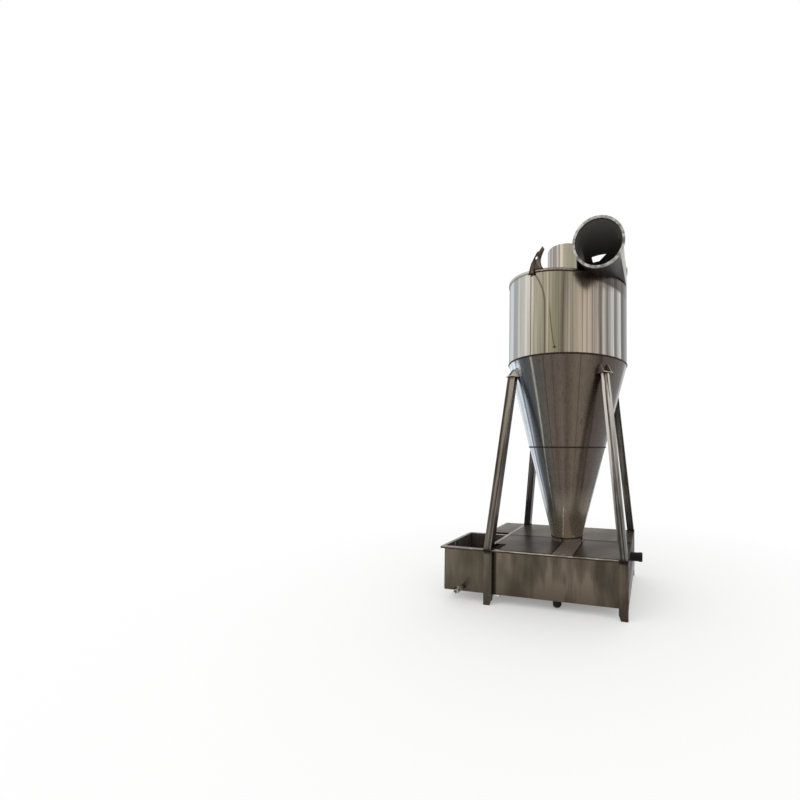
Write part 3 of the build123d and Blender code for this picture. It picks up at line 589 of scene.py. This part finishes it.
for corner, (side_x, side_y, degrees) in corners.items():
    weld("weld_pad_" + corner, burnt_weld,
         beside_bracket(degrees, -pad_half, 0.001, pad_foot_z),
         beside_bracket(degrees, pad_half, 0.001, pad_foot_z), 0.012)
    for side, place in (("a", -gusset_place), ("b", gusset_place)):
        weld("weld_gusset_%s_%s" % (side, corner), rubbed_weld,
             beside_bracket(degrees, place, 0.001, pad_top_z),
             beside_bracket(degrees, place, 0.001, pad_top_z + gusset_height), 0.007)
        weld("weld_gusset_foot_%s_%s" % (side, corner), rubbed_weld,
             beside_bracket(degrees, place + gusset_half, 0.0, pad_top_z),
             beside_bracket(degrees, place + gusset_half, 0.078, pad_top_z), 0.006)

# Legs: drawn square tube, 72 mm, leaning inwards from the rim to the pads. The front faces show
# long light and dark draw lines, the sides are painted dark and brown as shade, and everything
# turns to dark grey towards the feet.
leg_half, lean_x, lean_y = 0.036, 0.1067, 0.0800
post_x = (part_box("post_front_right")[0].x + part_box("post_front_right")[1].x) / 2 - axis_x
leg_foot_y = axis_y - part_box("leg_front_right")[0].y - leg_half


def leg_middle(side_x, side_y, level):
    """Point on a leg's middle line at a height."""
    return Vector((axis_x + side_x * (post_x - lean_x * (level - rim_z)),
                   axis_y + side_y * (leg_foot_y - lean_y * (level - rim_z)), level))


def leg_stainless(name, side_x, side_y, top, foot, side_shade_colours):
    """Draw lines that follow a leaning leg; colours of its top, foot and sides' painted shade."""
    made, tree, place = new_material(name)
    height = add_node(tree, "SeparateXYZ", place, output="Z")
    heights = add_node(tree, "CombineXYZ", height, height)
    straight = add_node(tree, "VectorMath MULTIPLY_ADD", heights,
                        (side_x * lean_x, side_y * lean_y, 0), place)
    lines = pattern(tree, straight, (58, 58, 0.9), 2.0, 0.55)
    clouds = pattern(tree, straight, (22, 22, 3.2), 3.0, 0.6)
    mixed = add_node(tree, "Math MULTIPLY_ADD", clouds, 0.45, lines)
    bright, dull, shaded = (
        set_stops(add_node(tree, "ValToRGB", mixed), zip(places, colours))
        for places, colours in (((0.58, 0.70, 0.80), top), ((0.56, 0.72, 0.86), foot),
                                ((0.56, 0.84), side_shade_colours)))
    up = add_node(tree, "MapRange", height, 0.9, 1.45, 0.0, 1.0)
    colour = add_node(tree, "Mix", up, dull, bright, data_type="RGBA")
    # Painted shade on the sides, chosen by which way their faces look.
    facing = add_node(tree, "SeparateXYZ", add_node(tree, "NewGeometry", output="Normal"))
    sideways = add_node(tree, "Math ABSOLUTE", facing)
    side_shade_share = add_node(tree, "MapRange", sideways, 0.5, 0.8, 0.0, 1.0)
    colour = add_node(tree, "Mix", side_shade_share, colour, shaded, data_type="RGBA")
    # The right part of each face is painted with the shade of the leg behind it, except near the
    # head.
    across = add_node(tree, "SeparateXYZ", straight, output="X")
    middle = axis_x + side_x * (post_x + lean_x * rim_z)
    colour = paint(tree, colour, "2c2723",
                   (across, middle - 0.006, middle + 0.016, 0.0, 0.45 if side_x > 0 else 0.05),
                   (height, 1.5, 1.9, 1.0, 0.0))
    colour = stain(
        tree, place, colour,
        (leg_middle(side_x, side_y, rim_z), (0.07, 0.07, 0.035), "1b1512", 0.95),
        (leg_middle(side_x, side_y, pad_foot_z), (0.08, 0.08, 0.035), "2a1d18", 0.9))
    metal_surface(tree, colour, (mixed, 0.56, 0.84, 0.38, 0.24), 0.88, lines, 0.15, 0.0008)
    return made


# Each leg: colours of its top, of its foot, and of its sides' painted shade.
leg_looks = {
    "front_left": (("342d26", "52493f", "7c7368"), ("3c3833", "5a544b", "7e776c"),
                   ("241d19", "433830")),
    "front_right": (("3b362f", "756f66", "c6c0b7"), ("2c2b29", "4c4a46", "8f8c86"),
                    ("262320", "4a463f")),
    "back_left": (("2b2826", "3f3b38", "605b56"), ("221f1e", "332f2d", "524d48"),
                  ("221e1d", "393532")),
    "back_right": (("2c2a25", "413e38", "67635b"), ("302d27", "4a463f", "7a756d"),
                   ("272420", "423e38")),
}
for corner, (side_x, side_y, degrees) in corners.items():
    dress(leg_stainless("leg_steel_" + corner, side_x, side_y, *leg_looks[corner]), "leg_" + corner)
    for end, level, lift, width, runs in (
        ("foot", rim_z, 0.002, 0.011,
         ((-1, -1, 1, -1), (1, -1, 1, 1), (1, 1, -1, 1), (-1, 1, -1, -1))),
        ("head", pad_foot_z, -0.002, 0.010,
         ((-1, side_y, 1, side_y), (side_x, -1, side_x, 1))),
    ):
        middle = leg_middle(side_x, side_y, level) + Vector((0, 0, lift))
        for number, (ax, ay, bx, by) in enumerate(runs):
            weld("weld_leg_%s_%s_%d" % (end, corner, number + 1), burnt_weld,
                 middle + Vector((ax, ay, 0)) * leg_half,
                 middle + Vector((bx, by, 0)) * leg_half, width)

# Trough: thin sheet folded at the top edge, welded at the corners. The walls are brown-grey and
# smooth, with soft upright blotches as wide as a hand, burnt where the legs are welded on.
trough_sheet = 0.004
wall_front_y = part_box("trough_right")[0].y - trough_sheet
tap_low, tap_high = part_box("drain_tap")
tap_x = (tap_low.x + tap_high.x) / 2
tap_z = tap_low.z + 0.021
post_heat = [(Vector((axis_x + side * post_x, wall_low.y, rim_z - 0.012)),
              (0.075, 0.06, 0.035), "17110e", 0.96) for side in (-1, 1)]
dress(mill_stainless("trough_steel", ("4a433a", "61574b", "84786a"), 0.24, (60, 60, 5),
                     (7.0, 7.0, 1.1), 0.88), "trough_back", "trough_left", "trough_bottom")
dress(mill_stainless("box_steel", ("4b443d", "5f564d", "7b7167"), 0.34, (60, 60, 5),
                     (7.0, 7.0, 1.6), 0.6), "box_back")
dress(mill_stainless("box_end_steel", ("5d5852", "6c6760", "807a72"), 0.34, (60, 60, 5),
                     (7.0, 7.0, 1.6), 0.6), "box_end")

# Right end wall: the same sheet; its upper half is painted dark as shade, and its mirroring is
# turned down there, so it hardly mirrors anything.
end_wall_steel, tree, place = new_material("end_wall_steel")
cloud = pattern(tree, place, (7, 7, 1.5), 3.0, 0.5)
colour = set_stops(add_node(tree, "ValToRGB", cloud),
                   [(0.35, "4a433a"), (0.5, "5a5046"), (0.65, "6f6558")])
# Painted shade on the upper half, where the mirroring is also turned down.
height = add_node(tree, "SeparateXYZ", place, output="Z")
level = add_node(tree, "Math MULTIPLY_ADD", cloud, 0.12, height)
painted_shade_share = add_node(tree, "MapRange", level, 0.26, 0.36, 0.0, 0.7)
metal_surface(tree, paint(tree, colour, "2d251e", painted_shade_share), (cloud, 0.3, 0.7, 0.35, 0.25), 0.8,
              cloud, 0.05, 0.0006, add_node(tree, "MapRange", painted_shade_share, 0.0, 0.7, 1.0, 0.15))
dress(end_wall_steel, "trough_right")

# Front wall: blotched sheet, greenish to the left and brown to the right, darker at the foot and
# inside, with a painted dark strip as the reflection of the left post's flank. Behind the tap there
# is a dark mark.
front_wall_steel, tree, place = new_material("front_wall_steel")
lines = pattern(tree, place, (70, 70, 5), 3.0, 0.6)
blotches = pattern(tree, place, (6.5, 1, 2.2), 2.0, 0.5)
mixed = add_node(tree, "Math MULTIPLY_ADD", lines, 0.18, blotches)
colour = set_stops(add_node(tree, "ValToRGB", mixed),
                   [(0.44, "463f35"), (0.54, "564d42"), (0.62, "64594d"), (0.70, "776b5d")])
parts = add_node(tree, "SeparateXYZ", place).node.outputs
colour = paint(tree, colour, "595447", (parts["X"], -0.85, 0.35, 0.5, 0.0))
colour = paint(tree, colour, "4b443a", (parts["Z"], 0.10, 0.30, 0.45, 0.0))
# Painted reflection of the left post's flank: a dark strip on the wall.
strip_x = axis_x - post_x + 0.039
colour = paint(tree, colour, "332a20", (parts["X"], strip_x - 0.004, strip_x, 0.0, 1.0),
               (parts["X"], strip_x + 0.026, strip_x + 0.040, 1.0, 0.0))
colour = paint(tree, colour, "28231e",
               (parts["Y"], wall_front_y + 0.0015, wall_front_y + 0.003, 0.0, 0.7))
tap_mark = (Vector((tap_x + 0.035, wall_low.y, tap_z)), (0.075, 0.05, 0.04), "29241a", 0.85)
colour = stain(tree, place, colour, *post_heat, tap_mark)
metal_surface(tree, colour, (mixed, 0.4, 0.75, 0.30, 0.20), 0.88, lines, 0.08, 0.0006)
dress(front_wall_steel, "trough_front")

# Posts: bent channel welded over the joint of rim and wall, dull like the trough, black with
# heat at the top and with short tack welds down both edges.
for name, colours, metallic, heat, dressed in (
    ("post_steel", ("49443a", "565146", "676255"), 0.88, post_heat, ("front_left",)),
    ("brown_post_steel", ("3b332b", "483f36", "5d5348"), 0.88, post_heat, ("front_right",)),
    ("back_post_steel", ("231e1a", "332c26", "4d453c"), 0.85, (), ("back_left", "back_right")),
):
    dress(mill_stainless(name, colours, 0.34, (80, 80, 4), (10, 10, 2.5), metallic, heat),
          *("post_" + corner for corner in dressed))
post_half, tack_length = 0.0395, 0.022
for corner, (side_x, side_y, degrees) in corners.items():
    for side, side_name in ((-1, "left"), (1, "right")):
        # At the right end the tacks lie on the end wall's edge, just inside the post's.
        edge_x = axis_x + side_x * post_x + side * post_half
        if side == side_x == 1:
            edge_x -= 0.0015
        edge_y = axis_y + side_y * (axis_y - wall_front_y + 0.001)
        for number, tack_z in enumerate((0.455, 0.37, 0.285, 0.20, 0.125)):
            weld("tack_post_%s_%s_%d" % (corner, side_name, number + 1), burnt_weld,
                 (edge_x, edge_y, tack_z), (edge_x, edge_y, tack_z + tack_length),
                 0.009)

# Rim: the folded edge is turned down once more into a narrow lip. Its bend is painted light, with
# painted highlights in patches, and the lip below it is painted dark as shade; where legs stand on
# it, heat has blackened it.
lip_steel, tree, place = new_material("lip_steel")
wear = pattern(tree, place, (30, 30, 90), 3.0, 0.6)
height = add_node(tree, "SeparateXYZ", place, output="Z")
ragged_height = add_node(tree, "Math MULTIPLY_ADD", wear, 0.006, height)
bend_light_share = add_node(tree, "MapRange", ragged_height, rim_z - 0.006, rim_z - 0.0005, 0.0, 1.0)
# Painted light on the bend, and painted shade on the lip below it.
colour = set_stops(add_node(tree, "ValToRGB", bend_light_share),
                   [(0.0, "39322a"), (0.4, "4a4138"), (0.8, "7a7063"), (1.0, "898073")])
# Painted highlights in patches on the bend.
highlight_patches = pattern(tree, place, (7, 7, 7), 3.0, 0.6)
colour = paint(tree, colour, "c9bfb1", (highlight_patches, 0.48, 0.62, 0.0, 0.9), bend_light_share)
colour = stain(tree, place, colour, *post_heat)
metal_surface(tree, colour, (wear, 0.3, 0.7, 0.24, 0.40), 0.88, wear, 0.1, 0.0006)


def bar(name, material, low, high, cuts, dents, edge):
    """Strip between two corners: divided along its length, dented a little and its edges eased."""
    low, size = Vector(low), Vector(high) - Vector(low)
    bpy.ops.mesh.primitive_cube_add(size=1.0, location=low + size / 2, scale=size)
    strip = bpy.context.object
    bpy.ops.object.transform_apply(location=False, rotation=False, scale=True)
    longest = max(range(3), key=lambda axis: size[axis])

    def runs_along(side):
        """Edge that joins the strip's two ends."""
        one, two = (strip.data.vertices[index].co for index in side.vertices)
        return abs(one[longest] - two[longest]) > size[longest] / 2

    pick(strip, runs_along, "EDGE")
    bpy.ops.mesh.subdivide(number_cuts=cuts)
    bpy.ops.mesh.select_all(action="SELECT")
    bpy.ops.transform.vertex_random(offset=dents, uniform=0.0, normal=0.0, seed=len(name))
    modify(strip, "BEVEL", width=edge, segments=2, limit_method="ANGLE")
    finish(strip, name, material)


lip_foot_z, lip_sheet, lip_short = rim_z - 0.018, 0.0015, rim_z - 0.004
end_low, end_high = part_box("box_end")
pocket_low, pocket_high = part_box("trough_left")
back_low, back_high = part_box("trough_back")
partition_low, partition_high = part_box("box_back")
for name, low, high, cuts, dents in (
    ("front", (wall_low.x + 0.002, wall_low.y - lip_sheet, lip_foot_z),
     (wall_high.x, wall_low.y, rim_z), 60, 0.0007),
    ("back", (back_low.x, back_high.y, lip_foot_z),
     (wall_high.x, back_high.y + lip_sheet, rim_z), 60, 0.0007),
    ("box_end", (end_low.x + 0.001, end_low.y - 0.026, lip_foot_z),
     (end_low.x + 0.001 + lip_sheet, end_high.y - 0.026, lip_short), 20, 0.0004),
    ("pocket_left", (pocket_low.x, partition_high.y, lip_foot_z),
     (pocket_low.x + lip_sheet, back_high.y, lip_short), 20, 0.0004),
    ("box_back", (end_low.x + 0.026, partition_high.y, lip_foot_z),
     (pocket_low.x, partition_high.y + lip_sheet, rim_z), 12, 0.0005),
):
    bar("rim_lip_" + name, lip_steel, low, high, cuts, dents, 0.0006)

# Corner welds of the trough and the box: thin upright beads, brushed back to the sheet's colour,
# and one bright seam inside the box's end wall, where the sheet was pieced.
trough_weld = weld_metal("trough_weld", "3d362d", "6e6355", 0.38)
wall_foot_z = wall_low.z + trough_sheet
wall_back_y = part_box("trough_right")[1].y + trough_sheet
for name, corner_x, corner_y in (
    ("front_right", wall_high.x, wall_front_y), ("back_right", wall_high.x, wall_back_y),
    ("back_left", pocket_high.x - trough_sheet, wall_back_y),
    ("box_front", end_high.x - trough_sheet, wall_front_y),
    ("box_back", end_high.x - trough_sheet, partition_low.y + trough_sheet),
    ("pocket", pocket_high.x - trough_sheet, partition_low.y + trough_sheet),
):
    weld("weld_corner_" + name, trough_weld, (corner_x, corner_y, wall_foot_z),
         (corner_x, corner_y, rim_z - 0.008), 0.006)
weld("seam_box_end", bright_weld, (end_high.x, axis_y - 0.36, 0.30),
     (end_high.x, axis_y - 0.36, rim_z - 0.012), 0.007)
weld("weld_box_inside", burnt_weld, (end_high.x, partition_low.y, wall_foot_z),
     (end_high.x, partition_low.y, rim_z - 0.006), 0.008)


# Covers: loose plates of the same sheet on the rim, brown-grey and dusty, so that they mirror
# only softly. Painted shade runs dark along their seams.
def cover_material(name, *tones):
    """Dusty sheet with painted shade beside the seams, whose places are taken from the plates."""
    made, tree, place = new_material(name)
    line = pattern(tree, place, (5, 90, 90), 2.0, 0.6)
    cloud = pattern(tree, place, (2.4, 2.4, 2.4), 3.0, 0.5)
    mixed = add_node(tree, "Math MULTIPLY_ADD", line, 0.3, cloud)
    colour = set_stops(add_node(tree, "ValToRGB", mixed), zip((0.45, 0.66, 0.85), tones))
    parts = add_node(tree, "SeparateXYZ", place).node.outputs
    front, back = (add_node(tree, "MapRange", parts["Y"], axis_y - 0.001, axis_y + 0.001,
                            share, 1.0 - share) for share in (1.0, 0.0))
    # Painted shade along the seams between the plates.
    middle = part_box("cover_front_middle")
    for axis, seam, reach, halves in (
        ("X", middle[0].x - 0.001, 0.006, [front]), ("X", middle[1].x + 0.001, 0.006, [front]),
        ("X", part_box("cover_back_left")[1].x + 0.001, 0.006, [back]), ("Y", axis_y, 0.020, []),
    ):
        away = add_node(tree, "Math SUBTRACT", parts[axis], seam)
        apart = add_node(tree, "Math ABSOLUTE", away)
        colour = paint(tree, colour, "241e1a", (apart, reach, 1.5 * reach, 0.9, 0.0), *halves)
    metal_surface(tree, colour, (mixed, 0.45, 0.85, 0.34, 0.24), 0.8, line, 0.05, 0.0005,
                  (0.5, 0.5, 0.5, 1))
    return made


dress(cover_material("cover_steel", "4b4540", "5a534c", "6b635b"),
      "cover_front_left", "cover_front_right")
dress(cover_material("cover_middle_steel", "8c817a", "a1948c", "b5a89f"), "cover_front_middle")
dress(cover_material("cover_back_steel", "615a52", "736b61", "887f73"),
      "cover_back_left", "cover_back_right", "cover_back_end")

# Cross bar: rolled angle, laid across the trough between the left legs and welded at its ends.
# Rakes have rubbed its top flange bright.
dress(mill_stainless("bar_steel", ("4a433b", "60584e", "7d7469"), 0.3, (60, 5, 60), (9, 3, 9),
                     0.9), "cross_bar")

# Overflow: a short black pipe on the right end wall, closed by a screwed cap of moulded plastic
# with grip ribs. The drain under the trough has the same cap, and both have a ring of weld.
black_cap, tree, place = new_material("black_cap")
grain = pattern(tree, place, (90, 90, 90), 3.0, 0.5)
colour = set_stops(add_node(tree, "ValToRGB", grain), [(0.35, "0d0c0b"), (0.7, "211e1c")])
metal_surface(tree, colour, (grain, 0.3, 0.7, 0.4, 0.55), 0.0, grain, 0.2, 0.0006,
              (0.35, 0.35, 0.35, 1))
dress(black_cap, "overflow_pipe", "drain_pipe")
pipe_low, pipe_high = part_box("overflow_pipe")
pipe_z = (pipe_low.z + pipe_high.z) / 2
neck_length, neck_radius = 0.0615, 0.0405
bpy.ops.mesh.primitive_cylinder_add(
    vertices=64, radius=neck_radius, depth=neck_length, end_fill_type="NOTHING",
    location=(pipe_low.x + neck_length / 2, axis_y, pipe_z), rotation=(0, math.pi / 2, 0))
neck = bpy.context.object
modify(neck, "SOLIDIFY", thickness=0.0012, offset=1.0)
finish(neck, "overflow_neck", black_cap)


def cap_ribs(name, centre, radius, length, level):
    """Grip ribs round a cap, each a rounded rod; the cap's axis is level or upright."""
    count = 24
    ribs = []
    for number in range(count):
        turn = 2 * math.pi * number / count
        one, two = radius * math.cos(turn), radius * math.sin(turn)
        spot = Vector(centre) + Vector((0, one, two) if level else (one, two, 0))
        bpy.ops.mesh.primitive_cylinder_add(vertices=8, radius=0.0018, depth=length, location=spot,
                                            rotation=(0, math.pi / 2 if level else 0, 0))
        rib = bpy.context.object
        pick(rib, lambda point: abs(point.co.z) > length / 3)
        bpy.ops.transform.resize(value=(0.7, 0.7, 0.7), center_override=spot)
        bpy.ops.object.mode_set(mode="OBJECT")
        ribs.append(rib)
    for rib in ribs:
        rib.select_set(True)
    bpy.context.view_layer.objects.active = ribs[0]
    bpy.ops.object.join()
    finish(bpy.context.object, name, black_cap)


cap_ribs("overflow_cap_ribs", (pipe_high.x - 0.021, axis_y, pipe_z), 0.0437, 0.026, True)
drain_low, drain_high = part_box("drain_pipe")
drain_x = (drain_low.x + drain_high.x) / 2
drain_y = (drain_low.y + drain_high.y) / 2
cap_ribs("drain_cap_ribs", (drain_x, drain_y, drain_low.z + 0.034), 0.0377, 0.034, False)
ring_weld("weld_drain", burnt_weld, (drain_x, drain_y, drain_high.z - 0.001),
          0.0385, 0.006, 0.0006, 72)
ring_weld("weld_overflow", burnt_weld, (pipe_low.x + 0.001, axis_y, pipe_z),
          0.042, 0.009, 0.0008, 72, (0, math.pi / 2, 0))

# Tap: turned and cast metal, pale and bright, with a hexagon at each end of its body, a nut on
# the stem and a dark dipped grip on the lever.
tap_metal = mill_stainless("tap_metal", ("98948b", "c6c2b9", "eae7e0"), 0.26, (120, 120, 120),
                           (30, 30, 30), 0.9)
dress(tap_metal, "drain_tap")
for name, across_flats, depth, spot, tilt in (
    ("tap_hexagon_back", 0.046, 0.014, (tap_x, tap_high.y - 0.041, tap_z), math.pi / 2),
    ("tap_hexagon_front", 0.046, 0.014, (tap_x, tap_low.y + 0.051, tap_z), math.pi / 2),
    ("tap_stem_nut", 0.020, 0.006, (tap_x, tap_high.y - 0.065, tap_high.z - 0.0025), 0),
):
    bpy.ops.mesh.primitive_cylinder_add(vertices=6, radius=across_flats / math.sqrt(3),
                                        depth=depth, location=spot, rotation=(tilt, 0, 0))
    nut = bpy.context.object
    modify(nut, "BEVEL", width=depth / 8, segments=2)
    finish(nut, name, tap_metal)
bar("tap_lever_grip", black_cap,
    (tap_x - 0.0105, tap_low.y + 0.002, tap_high.z - 0.0055),
    (tap_x + 0.0105, tap_low.y + 0.056, tap_high.z + 0.0015), 6, 0.0002, 0.0025)

# Clip: a bright scrap of thin angle, cut off and welded under the bottom edge, beside the front
# left post.
bar("foot_clip", tap_metal,
    (axis_x - post_x + 0.043, wall_front_y - 0.006, wall_low.z - 0.014),
    (axis_x - post_x + 0.108, wall_front_y + 0.022, wall_low.z + 0.0005), 8, 0.0006, 0.001)

# Floor: plain and pale, and it keeps the shadow. Seen by the camera it turns to plain white with
# its distance, so that no horizon shows.
bpy.ops.mesh.primitive_plane_add(size=60.0, location=(0, 0, 0))
floor = bpy.context.object
floor.name = "floor"
pale_floor, tree, place = new_material("pale_floor")
shader = add_node(tree, "BsdfPrincipled", linear("fafaf9"), Roughness=0.8,
                  **{"Specular IOR Level": 0.1})
reach = add_node(tree, "VectorMath LENGTH", place)
share = add_node(tree, "Math MULTIPLY", add_node(tree, "MapRange", reach, 0.5, 4.0, 0.25, 1.0),
                 add_node(tree, "LightPath", output="Is Camera Ray"))
white = add_node(tree, "Emission", (1, 1, 1, 1), 1.0)
add_node(tree, "OutputMaterial", add_node(tree, "MixShader", share, shader, white))
floor.data.materials.append(pale_floor)

# Light: a white surround, which the metal mirrors a little brighter than it shines, and two
# broad soft lamps.
world = bpy.data.worlds.new("studio")
scene.world = world
world.use_nodes = True
tree = world.node_tree
tree.nodes.clear()
rays = add_node(tree, "LightPath").node.outputs
seen = add_node(tree, "Math MAXIMUM", rays["Is Camera Ray"], rays["Is Glossy Ray"])
seen = add_node(tree, "Math MAXIMUM", seen, rays["Is Transmission Ray"])
strength = add_node(tree, "MapRange", seen, 0.0, 1.0, 0.92, 1.0)
add_node(tree, "OutputWorld", add_node(tree, "Background", (1, 1, 1, 1), strength))
for name, spot, size, power in (
    ("key", (-3.6, -4.6, 5.6), 5.0, 60.0),
    ("fill", (4.6, -3.4, 3.6), 4.0, 25.0),
):
    lamp_data = bpy.data.lights.new(name, "AREA")
    lamp_data.size = size
    lamp_data.energy = power
    lamp = bpy.data.objects.new(name, lamp_data)
    scene.collection.objects.link(lamp)
    lamp.location = spot
    lamp.rotation_euler = (Vector((0.1, 0, 1.6)) - Vector(spot)).to_track_quat("-Z", "Y").to_euler()
scene.view_settings.view_transform = "Standard"
